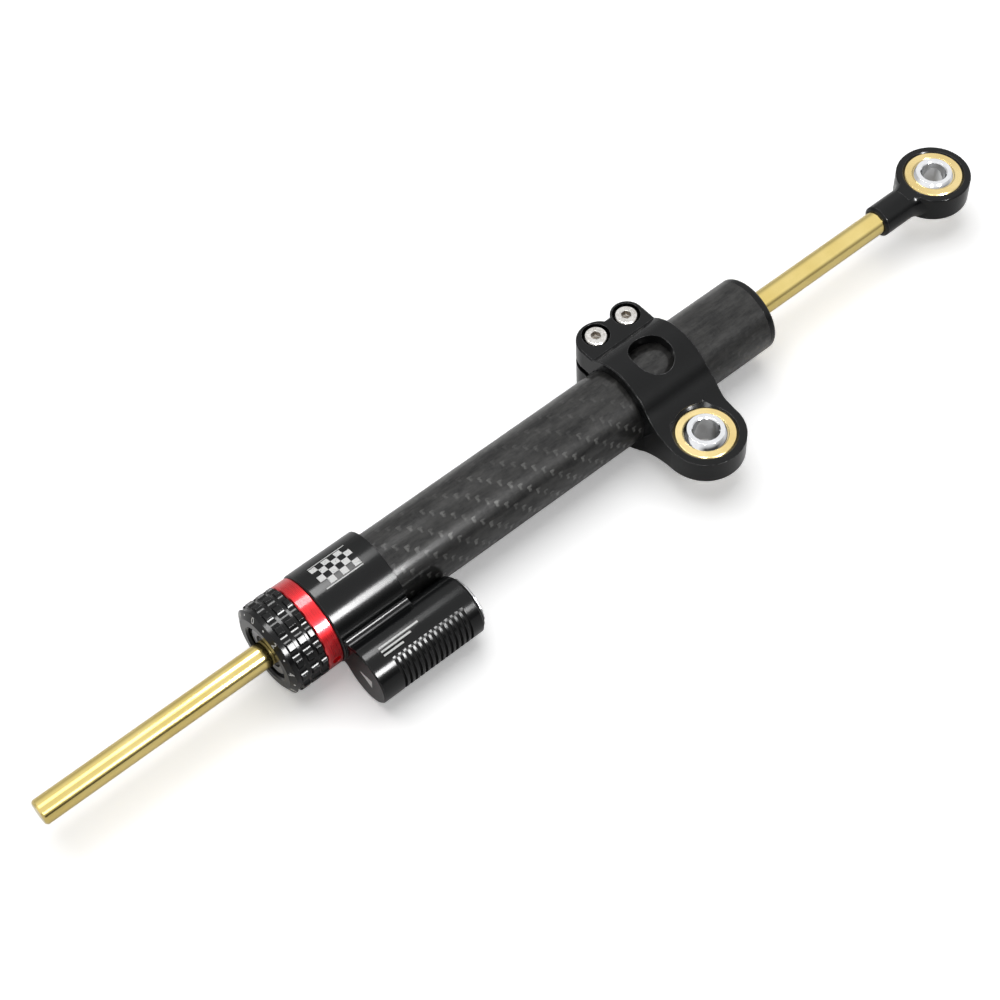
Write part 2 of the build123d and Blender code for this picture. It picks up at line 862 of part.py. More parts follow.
def valve_sleeve():
    """The sleeve in the nose, with a collar between the nose and the knob's wall and a boss in front."""
    rear = sleeve_rear_x()
    front = sleeve_front_x()
    shoulder = knob_wall_x + run_gap
    body = bar(shoulder, rear, valve_bore_r - run_gap)
    body += bar(shoulder, nose_front_x - run_gap, sleeve_collar_r)
    body += sleeve_boss(front, shoulder + over / 2, 0)
    body -= bar(front - over, rear + over, sleeve_bore_r)
    body -= bar(front - over, valve_wiper_x(), front_wiper_r + fit_gap)
    floor_r = valve_bore_r - 2 * fit_gap - 2 * o_ring_small_r - fit_gap
    for x in valve_o_ring_places():
        body -= o_ring_groove(x, floor_r, valve_bore_r, o_ring_small_r)
    slot = post(sleeve_bore_r - over, valve_bore_r + over, sleeve_slot_r, (rear + nose_front_x) / 2)
    return body - around(slot, sleeve_slot_count)


def valve_o_rings():
    mean_r = valve_bore_r - 2 * fit_gap - o_ring_small_r
    return Compound(children=[o_ring(x, mean_r, o_ring_small_r) for x in valve_o_ring_places()])


def front_wiper():
    return wiper(sleeve_front_x() + edge / 2, valve_wiper_x(), front_wiper_r)


# Clamp


def clamp_section():
    """The clamp's ear across X, with a concave blend above and below it into the barrel."""
    top_z = ear_half + ear_top_blend_r
    top_y = -math.sqrt((clamp_r + ear_top_blend_r) ** 2 - top_z**2)
    low_z = -ear_half - ear_under_blend_r
    low_y = -math.sqrt((clamp_r + ear_under_blend_r) ** 2 - low_z**2)
    top_share = clamp_r / (clamp_r + ear_top_blend_r)
    low_share = clamp_r / (clamp_r + ear_under_blend_r)
    top_meet = (top_y * top_share, top_z * top_share)
    low_meet = (low_y * low_share, low_z * low_share)
    tip_y = ear_y - ear_r - over
    outline = [
        Polyline((0, 0), top_meet),
        TangentArc((top_y, ear_half), top_meet, tangent=(1, 0)),
        Polyline((top_y, ear_half), (tip_y, ear_half), (tip_y, -ear_half), (low_y, -ear_half)),
        TangentArc((low_y, -ear_half), low_meet, tangent=(1, 0)),
        Polyline(low_meet, (0, 0)),
    ]
    return make_face(outline)


def ear_plan():
    """The ear seen from above: round at its tip, and widening into the barrel."""
    x, y = ear_centre
    points = [
        (x - ear_r, y),
        (clamp_front_x, ear_front_corner_y),
        (clamp_front_x, 0),
        (clamp_rear_x, 0),
        (clamp_rear_x, ear_rear_corner_y),
        (x + ear_rear_waist_x, ear_rear_waist_y),
        (x + ear_r, y),
    ]
    return make_face(Polyline(*points, close=True)) + Pos(x, y) * Circle(ear_r)


def clamp_ear():
    across = Plane(origin=(clamp_front_x - clamp_len, 0, 0), x_dir=(0, 1, 0), z_dir=(1, 0, 0))
    blended = extrude(across * clamp_section(), clamp_len * 3)
    tall = clamp_r + over
    plan = extrude(Pos(0, 0, -tall) * ear_plan(), 2 * tall)
    return blended & plan


def lug_screw_xs():
    first = clamp_front_x + lug_screw_x
    return first, first + lug_screw_pitch


def clamp_lug():
    """Both lugs as one, before the slot parts them: as long as the barrel, and round at both corners."""
    tip_y = lug_screw_y + lug_lobe_r
    front_corner = (clamp_front_x + lug_corner_r, tip_y - lug_corner_r)
    rear_corner = (clamp_rear_x - lug_lobe_r, lug_screw_y)
    plan = Pos(*front_corner) * Circle(lug_corner_r) + Pos(*rear_corner) * Circle(lug_lobe_r)
    outline = [
        (clamp_front_x, 0),
        (clamp_front_x, front_corner[1]),
        (front_corner[0], lug_bridge_y),
        (rear_corner[0], lug_bridge_y),
        (clamp_rear_x, rear_corner[1]),
        (clamp_rear_x, 0),
    ]
    plan += make_face(Polyline(*outline, close=True))
    body = extrude(Pos(0, 0, -lug_half) * plan, 2 * lug_half)
    rounded = body.edges().group_by(Axis.Z)[-1] + body.edges().group_by(Axis.Z)[0]
    return chamfer(rounded, edge)


def clamp_window():
    """The window in the clamp's top."""
    centre = Pos(clamp_front_x + window_x, window_y, tube_r / 2)
    return extrude(centre * Rot(0, 0, 90) * SlotOverall(window_length, window_width), clamp_r)


def split_clamp():
    body = turned([
        (clamp_front_x, 0),
        (clamp_front_x, clamp_r - clamp_edge),
        (clamp_front_x + clamp_edge, clamp_r),
        (clamp_rear_x - clamp_edge, clamp_r),
        (clamp_rear_x, clamp_r - clamp_edge),
        (clamp_rear_x, 0),
    ])
    body += clamp_ear()
    body += clamp_lug()
    body -= bar(clamp_front_x - clamp_len, clamp_rear_x + clamp_len, tube_r + run_gap)
    body -= clamp_window()
    x, y = ear_centre
    body -= race_seat(x, y, ear_half)
    for side in (-1, 1):
        z = sorted((side * ear_half, side * clamp_r))
        body -= post(z[0], z[1], ear_spot_r, x, y)
    low_z = slot_z - slot_width / 2
    high_z = slot_z + slot_width / 2
    body -= block(clamp_front_x - over, clamp_rear_x + over, 0, lug_screw_y + clamp_r, low_z, high_z)
    for screw_x in lug_screw_xs():
        body -= post(lug_half - counterbore_depth, lug_half + over, counterbore_r, screw_x, lug_screw_y)
        body -= post(slot_z, lug_half, screw_r + screw_clear, screw_x, lug_screw_y)
        body -= post(-lug_half - over, slot_z, screw_r + fit_gap, screw_x, lug_screw_y)
    return body


def clamp_screws():
    screws = []
    seat_z = lug_half - counterbore_depth
    for x in lug_screw_xs():
        head = post(seat_z, seat_z + screw_head_len, screw_head_r, x, lug_screw_y)
        head = chamfer(head.edges().group_by(Axis.Z)[-1], edge)
        shank = post(seat_z - screw_len, seat_z + fit_gap, screw_r, x, lug_screw_y)
        top = seat_z + screw_head_len
        socket = hex_socket(top, screw_socket_depth, screw_socket, x, lug_screw_y)
        screws.append(head + shank - socket)
    return Compound(children=screws)


def clamp_race():
    return race(ear_half - clamp_race_inset, clamp_race_mouth, *ear_centre)


def clamp_ball():
    return ball(*ear_centre)


pieces = {
    "carbon_tube": carbon_tube(),
    "inner_liner": inner_liner(),
    "head_block": head_block(),
    "index_ring": index_ring(),
    "ring_set_screw": ring_set_screw(),
    "detent_ball": detent_ball(),
    "detent_spring": detent_spring(),
    "knob_clip": knob_clip(),
    "front_gland": front_gland(),
    "front_bush": front_bush(),
    "front_rod_seal": front_rod_seal(),
    "front_gland_o_ring": front_gland_o_ring(),
    "end_cap": end_cap(),
    "rear_bush": rear_bush(),
    "rear_rod_seal": rear_rod_seal(),
    "rear_wiper": rear_wiper(),
    "rear_o_ring": rear_o_ring(),
    "reservoir_cap": reservoir_cap(),
    "cap_o_ring": cap_o_ring(),
    "plug_seal": plug_seal(),
    "fill_plug": fill_plug(),
    "floating_piston": floating_piston(),
    "floating_piston_ring": floating_piston_ring(),
    "rod": rod(),
    "piston": piston(),
    "piston_ring": piston_ring(),
    "piston_shims": piston_shims(),
    "piston_clips": piston_clips(),
    "rod_end": rod_end(),
    "eye_race": eye_race(),
    "eye_ball": eye_ball(),
    "adjuster_knob": adjuster_knob(),
    "valve_sleeve": valve_sleeve(),
    "valve_o_rings": valve_o_rings(),
    "front_wiper": front_wiper(),
    "split_clamp": split_clamp(),
    "clamp_screws": clamp_screws(),
    "clamp_race": clamp_race(),
    "clamp_ball": clamp_ball(),
}

for name, shape in pieces.items():
    export_step(shape, f"parts/{name}.step")
    print(name, round(shape.volume, 2))
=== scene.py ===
import json
import math

import bmesh
import bpy
from mathutils import Matrix, Vector


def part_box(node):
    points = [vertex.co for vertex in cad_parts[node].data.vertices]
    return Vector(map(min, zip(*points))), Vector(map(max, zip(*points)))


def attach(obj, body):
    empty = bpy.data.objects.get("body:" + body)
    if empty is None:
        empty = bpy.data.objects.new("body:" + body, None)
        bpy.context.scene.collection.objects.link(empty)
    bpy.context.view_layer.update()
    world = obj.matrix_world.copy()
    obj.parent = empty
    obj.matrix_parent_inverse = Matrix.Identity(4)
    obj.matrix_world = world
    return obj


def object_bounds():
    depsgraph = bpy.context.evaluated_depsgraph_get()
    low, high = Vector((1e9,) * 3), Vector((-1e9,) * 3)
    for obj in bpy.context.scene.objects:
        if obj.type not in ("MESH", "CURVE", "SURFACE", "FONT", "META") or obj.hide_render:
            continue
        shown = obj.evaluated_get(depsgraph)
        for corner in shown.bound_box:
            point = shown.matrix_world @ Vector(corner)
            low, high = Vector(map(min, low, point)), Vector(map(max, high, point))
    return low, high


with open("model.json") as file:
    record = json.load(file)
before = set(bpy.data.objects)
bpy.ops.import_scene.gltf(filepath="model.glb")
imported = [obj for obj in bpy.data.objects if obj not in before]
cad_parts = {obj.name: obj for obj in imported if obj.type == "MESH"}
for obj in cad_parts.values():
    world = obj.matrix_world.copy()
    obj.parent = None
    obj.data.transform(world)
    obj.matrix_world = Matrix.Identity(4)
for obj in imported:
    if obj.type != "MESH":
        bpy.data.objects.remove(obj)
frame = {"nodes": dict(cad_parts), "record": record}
cad_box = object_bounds()

MM = 0.001

# Where the photographer stood, and the lens
camera_place = (-0.396697, -0.287950, 0.504910)
camera_right = (0.76704, -0.64027, -0.04140)
camera_forward = (0.34109, 0.46158, -0.81890)
camera_lens = 75.24
camera_sensor = 36.0
camera_clips = (0.01, 20.0)

# Table under the damper: its place, half width and white, and the white and glow the camera sees
floor_height = cad_box[0].z
floor_middle_x = -0.17
floor_half = 3.0
floor_white = 0.88
floor_shown = 1.17
floor_glow = 0.285
# Light from all round, and what metal sees overhead, on the far side and on the camera's side
room_light = 0.32
sky_seen = 1.05
far_seen = 0.60
near_seen = 0.06
# Directions between which that room turns to its far and its near side, and what is left of the
# near side on the right
far_side_y = (0.35, 0.75)
far_side_z = (0.75, 0.30)
near_side_y = (-0.30, -0.70)
near_side_z = (0.52, 0.20)
near_side_x = (0.10, 0.75)
near_side_right = 0.5

# Light panels: where each hangs, the point of the damper's axis that it faces, its size and its power
main_panel = ((-0.12, 0.24, 0.93), -0.12, (1.00, 1.00), 6.4)
gleam_panel = ((-0.035, -0.73, 0.55), -0.035, (0.12, 0.24), 6.6)
crest_panel = ((-0.038, 0.29, 0.90), -0.038, (0.105, 0.34), 2.2)
rod_gleam_panel = ((-0.205, -0.73, 0.55), -0.205, (0.20, 0.22), 0.40)
rod_crest_panel = ((-0.205, 0.18, 0.93), -0.205, (0.20, 0.40), 0.38)
glint_panel = ((-0.62, -0.50, 0.52), -0.13, (0.18, 0.18), 1.3)

# Stations of the CAD part that the paint, the grooves' dull finish and painted shade, the weave with
# its painted hook highlights and the flange follow
head_low, head_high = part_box("head_block")
plug_low, plug_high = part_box("fill_plug")
clamp_low, clamp_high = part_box("split_clamp")
axis_y = 0.0
axis_z = 0.0
tube_r = axis_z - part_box("carbon_tube")[0].z
sleeve_r = head_high.y - axis_y
canister_y = (plug_low.y + plug_high.y) / 2.0
canister_z = (plug_low.z + plug_high.z) / 2.0
canister_r = canister_y - head_low.y
canister_rear = head_high.x
canister_front = canister_rear - 37.0 * MM
groove_start = canister_front + 6.05 * MM
bevel_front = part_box("adjuster_knob")[0].x
bevel_back = bevel_front + 1.2 * MM
bevel_in_r = 11.8 * MM
bevel_out_r = 14.2 * MM

# Clamp screws: heights of their heads, of the painted shade down in their sockets and of the sockets'
# floors
screw_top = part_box("clamp_screws")[1].z
socket_shade_top = screw_top - 0.1 * MM
socket_shade_full = screw_top - 0.7 * MM
socket_floor = screw_top - 2.15 * MM
socket_floor_clear = screw_top - 1.8 * MM

# Canister's grooves: depths at which they begin to be dull and darkened with painted shade, and are
groove_lip = 0.08 * MM
groove_shaded_dull = 0.20 * MM

# Carbon weave: its tows, how far its rows wander, and where its painted hook highlights fade along the
# tube
tows_round = 36
weave_pitch = 2.0 * math.pi * tube_r / tows_round
weave_wander = 0.9
hooks_full_x = clamp_low.x - 56.4 * MM
hooks_low_x = clamp_low.x - 1.4 * MM
hooks_last_x = clamp_low.x + 3.6 * MM
hooks_gone_x = clamp_high.x - 3.0 * MM

# Paint: its thickness, how deep its foot sits in the metal, and the flat steps it bends in
paint_thick = 0.03 * MM
paint_sunk = 0.015 * MM
square_steps = 4
side_line_steps = 2
line_steps = 3

# Chequer on the head's sleeve, with a line each side; turns are in degrees from the top
chequer_square = 2.15 * MM
chequer_columns = 6
chequer_rows = 4
chequer_start_x = canister_front + 3.85 * MM
chequer_start_turn = -25.0
side_line_turn = 1.3
side_line_gap = 1.2

# Lines on the canister
line_lens = (14.0 * MM, 10.5 * MM, 7.0 * MM)
line_start_x = canister_front + 5.55 * MM
line_start_turn = 4.0
line_pitch_turn = 7.5
line_turn = 3.4

# Flange round the plug: half outline from its bore, out, along and back
flange_gap = 0.02 * MM
flange_len = 1.10 * MM
flange_bore_r = 4.6 * MM
flange_r = 7.9 * MM
flange_chamfer_len = 0.3 * MM
flange_face_r = 7.3 * MM
flange_sides = 12

# Wedge on the canister's front: its corners across and up from the canister's axis
wedge_corners = ((1.84 * MM, 0.35 * MM), (-3.92 * MM, 1.56 * MM), (-3.46 * MM, -2.41 * MM))

# Knob's dial
first_number_turn = -17.0
number_gap = 45.0
numbers = 8
number_size = 2.9 * MM
number_share = 0.5
number_curve_steps = 3
dot_r = 0.33 * MM
dot_share = 0.55
dot_sides = 20


def stand_camera():
    """The camera at the photograph's place, with its picture's middle on the lens axis."""
    right = Vector(camera_right).normalized()
    forward = Vector(camera_forward).normalized()
    up = right.cross(forward)
    turn = Matrix((right, up, -forward)).transposed().to_4x4()
    camera = bpy.data.cameras.new("camera")
    camera.lens = camera_lens
    camera.sensor_width = camera_sensor
    camera.clip_start, camera.clip_end = camera_clips
    stand = bpy.data.objects.new("camera", camera)
    bpy.context.scene.collection.objects.link(stand)
    stand.matrix_world = Matrix.Translation(Vector(camera_place)) @ turn
    bpy.context.scene.camera = stand


class Recipe:
    """One material, put together from nodes by short calls."""

    def __init__(self, name):
        self.material = bpy.data.materials.new(name)
        self.material.use_nodes = True
        self.tree = self.material.node_tree
        self.tree.nodes.clear()

    @classmethod
    def on(cls, tree):
        """The same short calls on a node tree that is there already."""
        made = cls.__new__(cls)
        made.tree = tree
        tree.nodes.clear()
        return made

    def node(self, kind, sockets=None, **settings):
        """A node with its settings; each socket takes a number, a colour or another socket."""
        made = self.tree.nodes.new("ShaderNode" + kind)
        for key, value in settings.items():
            setattr(made, key, value)
        for key, value in (sockets or {}).items():
            if isinstance(value, bpy.types.NodeSocket):
                self.tree.links.new(value, made.inputs[key])
            else:
                made.inputs[key].default_value = value
        return made

    def calc(self, operation, first, second=0.0):
        """One step of arithmetic on the surface."""
        made = self.node("Math", {0: first, 1: second}, operation=operation)
        return made.outputs[0]

    def times(self, first, *others):
        """The product of its values."""
        for other in others:
            first = self.calc("MULTIPLY", first, other)
        return first

    def plus(self, first, *others):
        """The total of its values."""
        for other in others:
            first = self.calc("ADD", first, other)
        return first

    def minus(self, first, second):
        """What is left of the first value."""
        return self.calc("SUBTRACT", first, second)

    def place(self, scale=(1, 1, 1), shift=(0, 0, 0)):
        """Object coordinates, stretched and moved."""
        if not hasattr(self, "where"):
            self.where = self.node("TexCoord").outputs["Object"]
        made = self.node("Mapping", {"Vector": self.where, "Scale": scale, "Location": shift})
        return made.outputs["Vector"]

    def axes(self, shift=(0, 0, 0)):
        """The point's X, Y and Z in metres, after a shift."""
        split = self.node("SeparateXYZ", {"Vector": self.place(shift=shift)})
        return [split.outputs[key] for key in ("X", "Y", "Z")]

    def grain(self, size, stretch=(1, 1, 1), detail=3.0, rough=0.55):
        """Noise whose features are about size millimetres, longer where stretch is below one."""
        made = self.node(
            "TexNoise",
            {
                "Vector": self.place(stretch), "Scale": 1.0 / (size * MM),
                "Detail": detail, "Roughness": rough,
            },
        )
        return made.outputs["Fac"]

    def between(self, value, low, high, at_low=0.0, at_high=1.0):
        """Takes value from low..high to at_low..at_high, and holds it there beyond."""
        made = self.node(
            "MapRange",
            {"Value": value, "From Min": low, "From Max": high, "To Min": at_low, "To Max": at_high},
        )
        return made.outputs["Result"]

    def blend(self, share, first, second):
        """A colour between two, by share."""
        made = self.node("Mix", data_type="RGBA")
        for index, value in ((0, share), (6, first), (7, second)):
            if isinstance(value, bpy.types.NodeSocket):
                self.tree.links.new(value, made.inputs[index])
            else:
                made.inputs[index].default_value = value
        return made.outputs[2]

    def mean(self, share, first, second):
        """A number between two, by share."""
        made = self.node("Mix", {0: share, 2: first, 3: second}, data_type="FLOAT")
        return made.outputs[0]

    def edges(self, radius):
        """How near the surface is to an outside edge, and the normal rounded over it."""
        soft = self.node("Bevel", {"Radius": radius * MM}, samples=6).outputs["Normal"]
        flat = self.node("NewGeometry").outputs["Normal"]
        facing = self.node("VectorMath", {0: soft, 1: flat}, operation="DOT_PRODUCT").outputs["Value"]
        return self.between(facing, 0.995, 0.90), soft

    def raised(self, height, depth, normal=None):
        """The normal over a surface whose height stands depth micrometres high."""
        sockets = {"Height": height, "Distance": depth * 1e-6, "Strength": 1.0}
        if normal is not None:
            sockets["Normal"] = normal
        return self.node("Bump", sockets).outputs["Normal"]

    def skin(self, **sockets):
        """The shader itself; underscores in the names stand for spaces."""
        named = {key.replace("_", " "): value for key, value in sockets.items()}
        if "Specular Level" in named:
            named["Specular IOR Level"] = named.pop("Specular Level")
        shader = self.node("BsdfPrincipled", named)
        out = self.node("OutputMaterial")
        self.tree.links.new(shader.outputs[0], out.inputs["Surface"])
        return self.material


def colour(red, green, blue):
    return (red, green, blue, 1.0)


def black_anodised(name, marks, mark_size=0.16, gloss=0.26, rounding=0.2, grooved=False):
    """Gloss black dye in an aluminium skin: tool marks under it, bare metal just showing on edges."""
    r = Recipe(name)
    near_edge, soft = r.edges(rounding)
    cloud = r.grain(9.0)
    fine = r.grain(0.35, detail=2.0)
    tooling = r.grain(mark_size, marks, detail=2.0)
    dyed = r.blend(cloud, colour(0.0028, 0.0031, 0.0034), colour(0.0060, 0.0066, 0.0070))
    rubbed = r.between(r.grain(1.3), 0.42, 0.68, 0.10, 0.55)
    tint = r.blend(r.times(near_edge, rubbed), dyed, colour(0.22, 0.22, 0.225))
    sheen = r.plus(r.between(fine, 0.3, 0.7, 0.12, 0.16), r.times(cloud, 0.06))
    normal = r.raised(r.plus(tooling, r.times(fine, 0.35)), 1.1, soft)
    if grooved:
        # Painted shade: the groove floors are darkened, as well as made dull
        shaded_dull_share = shaded_dull_grooves(r)
        sheen = r.mean(shaded_dull_share, sheen, 0.75)
        tint = r.blend(shaded_dull_share, tint, colour(0.0015, 0.0015, 0.0015))
    return r.skin(Base_Color=tint, Roughness=sheen, Metallic=0.0, Specular_Level=gloss, Normal=normal)


def shaded_dull_grooves(r):
    """Share of the surface that lies down in the canister's cooling grooves, which are dull and
    darkened there with painted shade.
    """
    x, y, z = r.axes((0, -canister_y, -canister_z))
    out = r.calc("SQRT", r.plus(r.times(y, y), r.times(z, z)))
    sunk = r.between(out, canister_r - groove_lip, canister_r - groove_shaded_dull)
    return r.times(sunk, r.calc("GREATER_THAN", x, groove_start))


def red_anodised(name):
    """Red dye over turned aluminium, under a clear sealed skin."""
    r = Recipe(name)
    near_edge, soft = r.edges(0.15)
    cloud = r.grain(6.0)
    turned = r.grain(0.14, (1, 0.02, 0.02), detail=2.0)
    dyed = r.blend(cloud, colour(0.62, 0.010, 0.016), colour(0.78, 0.018, 0.026))
    tint = r.blend(r.times(near_edge, 0.35), dyed, colour(0.95, 0.35, 0.33))
    sheen = r.between(turned, 0.3, 0.7, 0.24, 0.34)
    normal = r.raised(turned, 0.6, soft)
    return r.skin(
        Base_Color=tint, Roughness=sheen, Metallic=0.8, Normal=normal,
        Coat_Weight=0.55, Coat_Roughness=0.12,
    )


def gold_coated(name, light, deep, marks, mark_size=0.10, roughness=0.13):
    """Hard gold coloured coating on ground steel."""
    r = Recipe(name)
    near_edge, soft = r.edges(0.12)
    cloud = r.grain(14.0)
    ground = r.grain(mark_size, marks, detail=2.0)
    tint = r.blend(r.between(cloud, 0.3, 0.7), deep, light)
    tint = r.blend(r.times(near_edge, 0.35), tint, colour(0.98, 0.90, 0.66))
    sheen = r.between(ground, 0.3, 0.7, roughness - 0.03, roughness + 0.05)
    normal = r.raised(ground, 0.45, soft)
    return r.skin(Base_Color=tint, Roughness=sheen, Metallic=1.0, Normal=normal)


def bright_metal(name, light, deep, marks, mark_size, roughness, depth, edge=0.15):
    """Bare turned or polished metal, with tool marks and a slight bloom."""
    r = Recipe(name)
    near_edge, soft = r.edges(edge)
    cloud = r.grain(3.0)
    turned = r.grain(mark_size, marks, detail=2.0)
    tint = r.blend(r.between(cloud, 0.3, 0.7), deep, light)
    tint = r.blend(r.times(near_edge, 0.3), tint, colour(0.97, 0.97, 0.97))
    sheen = r.between(turned, 0.3, 0.7, roughness * 0.8, roughness * 1.3)
    normal = r.raised(turned, depth, soft)
    return r.skin(Base_Color=tint, Roughness=sheen, Metallic=1.0, Normal=normal)


def moulded(name, light, deep, size, roughness, depth):
    """Rubber or filled plastic."""
    r = Recipe(name)
    cloud = r.grain(size)
    pores = r.grain(0.12, detail=2.0)
    tint = r.blend(cloud, deep, light)
    sheen = r.between(pores, 0.3, 0.7, roughness - 0.08, roughness + 0.08)
    return r.skin(Base_Color=tint, Roughness=sheen, Normal=r.raised(pores, depth))


def painted(name):
    """White marking paint, a little thin in places."""
    r = Recipe(name)
    thin = r.between(r.grain(0.5, detail=4.0), 0.30, 0.44)
    tint = r.blend(thin, colour(0.40, 0.40, 0.40), colour(0.78, 0.78, 0.77))
    sheen = r.between(r.grain(0.2), 0.3, 0.7, 0.42, 0.58)
    return r.skin(Base_Color=tint, Roughness=sheen, Normal=r.raised(r.grain(0.3), 3.0))


def weave_cells(r):
    """A point in the weave: its X and turn, its tow's step in the repeat, and its place in the cell."""
    x, y, z = r.axes()
    turn = r.calc("ARCTAN2", r.times(y, -1.0), z)
    wander = r.times(r.minus(r.grain(11.0, detail=1.0), 0.5), weave_wander)
    u = r.plus(r.calc("DIVIDE", x, weave_pitch), wander)
    v = r.times(turn, tows_round / (2.0 * math.pi))
    step = r.calc("FLOORED_MODULO", r.minus(r.calc("FLOOR", u), r.calc("FLOOR", v)), 4.0)
    return x, turn, step, r.calc("FRACT", u), r.calc("FRACT", v)


def painted_hook_highlights(r, x, turn, step, in_u, in_v):
    """Painted highlights: pale hooks at the front corner of each float that runs along the tube, where
    the tow catches light.
    """
    ragged = r.times(r.minus(r.grain(0.8, detail=2.0), 0.5), 0.55)
    deep, wide = r.plus(in_u, ragged), r.plus(in_v, ragged)
    across = r.times(
        r.between(deep, -0.05, 0.20), r.between(deep, 0.55, 0.28), r.between(in_v, 1.0, 0.75)
    )
    along = r.times(
        r.between(wide, -0.05, 0.15), r.between(wide, 0.42, 0.22), r.between(in_u, 0.85, 0.50)
    )
    tip = r.times(r.calc("MAXIMUM", across, along), r.calc("LESS_THAN", step, 0.5))
    patch = r.between(r.grain(4.0, detail=3.0), 0.36, 0.62, 0.25, 1.0)
    # These painted highlights fade toward the clamp, last on the canister's side, and hardly show past
    # it, but stay on the far side of the tube
    lean = r.minus(turn, r.between(x, hooks_full_x, hooks_low_x, 0.0, 0.9))
    facing = r.between(lean, -0.3, 0.5, 0.2, 1.0)
    facing = r.times(facing, r.between(x, hooks_last_x, hooks_gone_x, 1.0, 0.15))
    facing = r.calc("MAXIMUM", facing, r.between(turn, -1.0, -1.6))
    return r.times(tip, patch, facing)


def carbon_twill(name):
    """Two by two twill of carbon tows round the tube, under clear lacquer, with painted highlights on
    its hooks.
    """
    r = Recipe(name)
    x, turn, step, in_u, in_v = weave_cells(r)
    along_top = r.calc("LESS_THAN", step, 1.5)
    # Share of the way along each float, for the tows that run along the tube and round it
    run_u = r.times(r.plus(step, in_u), 0.5)
    run_v = r.times(r.plus(r.minus(3.0, step), in_v), 0.5)

    def hump(share):
        return r.calc("SINE", r.times(share, math.pi))

    def either(along, across):
        return r.plus(r.times(along, along_top), r.times(across, r.minus(1.0, along_top)))

    def crowned(share, run):
        return r.times(r.calc("POWER", hump(share), 0.5), hump(run))

    height = either(crowned(in_v, run_u), crowned(in_u, run_v))
    fibres = either(r.grain(0.5, (0.08, 1, 1), detail=2.0), r.grain(0.5, (1, 0.12, 0.12), detail=2.0))
    streaks = r.between(r.grain(2.6, (0.3, 1, 1), detail=6.0, rough=0.8), 0.38, 0.62)
    base = r.blend(streaks, colour(0.0020, 0.0020, 0.0020), colour(0.024, 0.023, 0.021))
    base = r.blend(r.between(fibres, 0.35, 0.75, 0.0, 0.45), base, colour(0.022, 0.022, 0.0225))
    hook_highlight = r.times(painted_hook_highlights(r, x, turn, step, in_u, in_v), 0.85)
    # Painted highlight: the hooks are lightened toward pale grey
    tint = r.blend(hook_highlight, base, colour(0.17, 0.17, 0.163))
    sheen = r.between(fibres, 0.3, 0.7, 0.38, 0.50)
    lacquer = r.raised(r.plus(r.grain(1.6, detail=2.0), r.times(height, 0.2)), 5.0)
    return r.skin(
        Base_Color=tint, Roughness=sheen, Metallic=0.1, Specular_Level=0.16,
        Normal=r.raised(height, 22.0), Coat_Weight=r.between(streaks, 0.0, 1.0, 0.42, 0.82),
        Coat_Roughness=0.12, Coat_Normal=lacquer,
    )


def socket_steel(name):
    """Plated screws, with painted shade down in their sockets."""
    r = Recipe(name)
    near_edge, soft = r.edges(0.2)
    depth = r.axes()[2]
    smears = r.grain(0.9, detail=3.0)
    cut = r.grain(0.20, detail=2.0)
    tint = r.blend(r.between(smears, 0.3, 0.7), colour(0.50, 0.48, 0.45), colour(0.74, 0.73, 0.71))
    tint = r.blend(r.times(near_edge, 0.5), tint, colour(0.95, 0.94, 0.92))
    above_floor = r.between(depth, socket_floor, socket_floor_clear)
    # Painted shade: the socket walls darken to brown below the head's top, but not on the sockets'
    # floors
    socket_shade = r.times(r.between(depth, socket_shade_top, socket_shade_full, 0.0, 0.8), above_floor)
    tint = r.blend(socket_shade, tint, colour(0.16, 0.12, 0.08))
    sheen = r.between(cut, 0.3, 0.7, 0.16, 0.30)
    return r.skin(Base_Color=tint, Roughness=sheen, Metallic=1.0, Normal=r.raised(cut, 1.5, soft))


ROUND_X = (1, 0.02, 0.02)
EVEN = (1, 1, 1)

finishes = {
    "turned_black": black_anodised("turned_black", ROUND_X),
    "grooved_black": black_anodised("grooved_black", ROUND_X, grooved=True),
    "milled_black": black_anodised("milled_black", EVEN, 0.5, 0.24, 0.4),
    "carbon": carbon_twill("carbon_twill"),
    "red_anodised": red_anodised("red_anodised"),
    "rod_gold": gold_coated(
        "rod_gold", colour(0.83, 0.665, 0.265), colour(0.74, 0.575, 0.195), ROUND_X
    ),
    "race_gold": gold_coated(
        "race_gold", colour(0.88, 0.71, 0.35), colour(0.74, 0.56, 0.23), EVEN, 0.25, 0.20
    ),
    "chromed": bright_metal(
        "chromed", colour(0.84, 0.85, 0.87), colour(0.76, 0.77, 0.79), EVEN, 0.8, 0.05, 0.3
    ),
    "stainless": bright_metal(
        "stainless", colour(0.80, 0.79, 0.77), colour(0.62, 0.61, 0.60), EVEN, 0.22, 0.22, 1.5
    ),
    "plain_aluminium": bright_metal(
        "plain_aluminium", colour(0.80, 0.80, 0.82), colour(0.68, 0.68, 0.70), ROUND_X, 0.15, 0.30, 1.5
    ),
    "bush_bronze": bright_metal(
        "bush_bronze", colour(0.68, 0.50, 0.28), colour(0.50, 0.36, 0.20), EVEN, 0.15, 0.38, 2.5
    ),
    "seal_rubber": moulded(
        "seal_rubber", colour(0.022, 0.022, 0.022), colour(0.014, 0.014, 0.014), 4.0, 0.55, 4.0
    ),
    "ring_plastic": moulded(
        "ring_plastic", colour(0.16, 0.12, 0.07), colour(0.10, 0.075, 0.045), 2.0, 0.45, 3.0
    ),
    "screw_steel": socket_steel("screw_steel"),
    "sleeve_grey": bright_metal(
        "sleeve_grey", colour(0.42, 0.42, 0.43), colour(0.30, 0.30, 0.31), ROUND_X, 0.15, 0.34, 1.5
    ),
    "paint": painted("marking_paint"),
}

